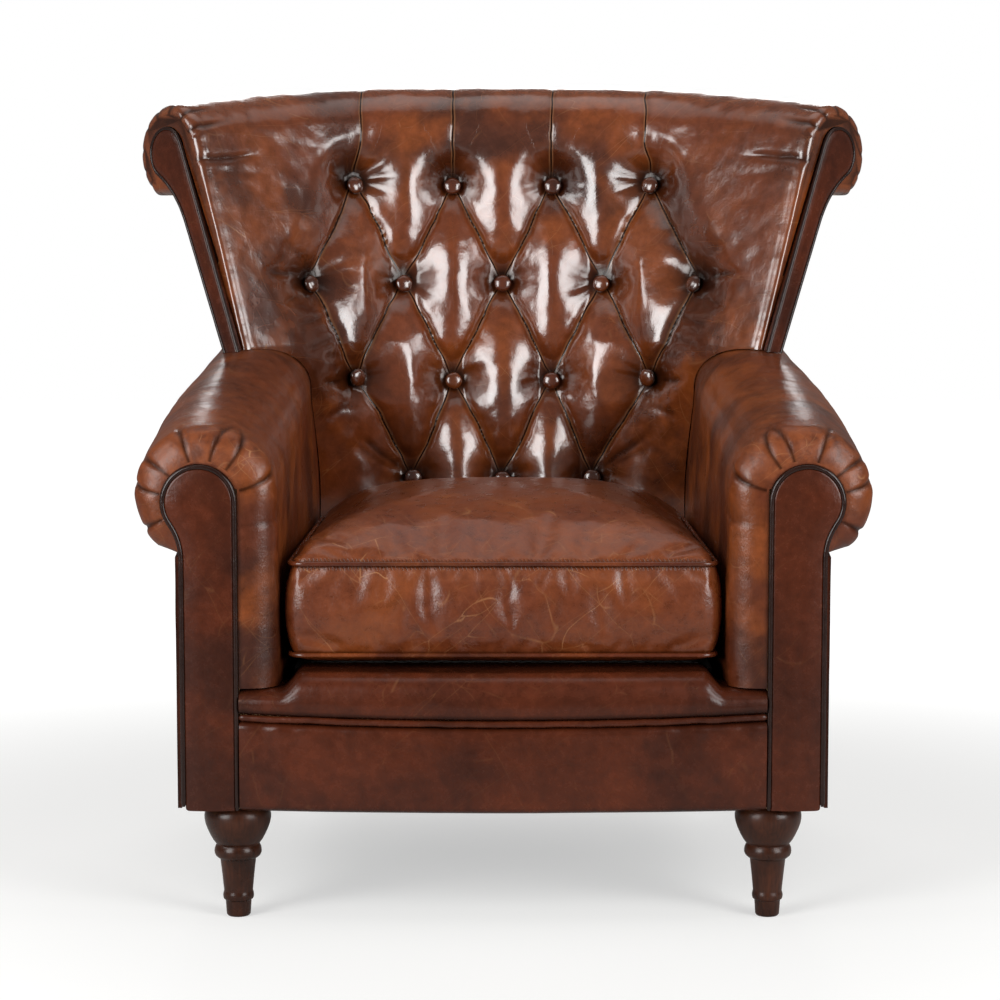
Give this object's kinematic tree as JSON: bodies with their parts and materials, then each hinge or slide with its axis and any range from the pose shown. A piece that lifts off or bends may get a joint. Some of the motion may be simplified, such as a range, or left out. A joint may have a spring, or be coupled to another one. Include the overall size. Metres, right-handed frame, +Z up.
{
  "type": "armchair",
  "caption": "Leather club armchair: buttoned winged back, scroll arms, loose box cushion that lifts out, turned front legs.",
  "frame": {"origin": "on the floor, under the middle of the chair", "axes": "+X to the right arm as seen from the front, -Y out of the front, +Z up"},
  "size_m": [0.9504, 0.8344, 0.9858],
  "materials": {
    "back_leather": "gloss",
    "cushion_leather": "satin",
    "arm_leather": "satin",
    "panel_leather": "satin",
    "piping_leather": "satin",
    "button_leather": "gloss",
    "leg_wood": "satin",
    "frame_wood": "matte",
    "spring_steel": "satin",
    "cushion_foam": "matte",
    "black_cloth": "matte",
    "zip_tape": "matte"
  },
  "bodies": {
    "chair": {"front_leg_left": "leg_wood", "rear_leg_left": "leg_wood", "front_leg_right": "leg_wood", "rear_leg_right": "leg_wood", "front_seat_rail": "frame_wood", "rear_seat_rail": "frame_wood", "left_seat_rail": "frame_wood", "arm_post_left": "frame_wood", "right_seat_rail": "frame_wood", "arm_post_right": "frame_wood", "seat_spring_unit": "spring_steel", "seat_deck": "black_cloth", "front_rail_cover": "panel_leather", "front_rail_welt": "panel_leather", "seat_lip": "panel_leather", "dust_cover": "black_cloth", "arm_pad_left": "arm_leather", "arm_facing_left": "panel_leather", "arm_welt_left": "piping_leather", "arm_rail_left": "frame_wood", "outside_arm_left": "panel_leather", "arm_pad_right": "arm_leather", "arm_facing_right": "panel_leather", "arm_welt_right": "piping_leather", "arm_rail_right": "frame_wood", "outside_arm_right": "panel_leather", "inside_back": "back_leather", "back_top_rail": "frame_wood", "outside_back": "panel_leather", "back_button_1_1": "button_leather", "back_button_1_2": "button_leather", "back_button_1_3": "button_leather", "back_button_1_4": "button_leather", "back_button_2_1": "button_leather", "back_button_2_2": "button_leather", "back_button_2_3": "button_leather", "back_button_2_4": "button_leather", "back_button_2_5": "button_leather", "back_button_3_1": "button_leather", "back_button_3_2": "button_leather", "back_button_3_3": "button_leather", "back_button_3_4": "button_leather", "back_button_4_1": "button_leather", "back_button_4_2": "button_leather", "back_button_4_3": "button_leather", "wing_facing_left": "panel_leather", "wing_facing_right": "panel_leather", "wing_welt_left": "piping_leather", "wing_welt_right": "piping_leather", "outside_wing_left": "panel_leather", "outside_wing_right": "panel_leather", "wing_frame_left": "frame_wood", "wing_frame_right": "frame_wood", "back_post_left": "frame_wood", "back_post_right": "frame_wood"},
    "seat_cushion": {"seat_cushion_cover": "cushion_leather", "seat_cushion_core": "cushion_foam", "cushion_zip": "zip_tape", "cushion_welt_top": "cushion_leather", "cushion_welt_bottom": "cushion_leather"}
  },
  "joints": [
    {"name": "cushion_lift", "type": "slide", "parent": "chair", "child": "seat_cushion", "axis": [0, -0.6, 0.8], "range_m": [0, 0.5]}
  ]
}
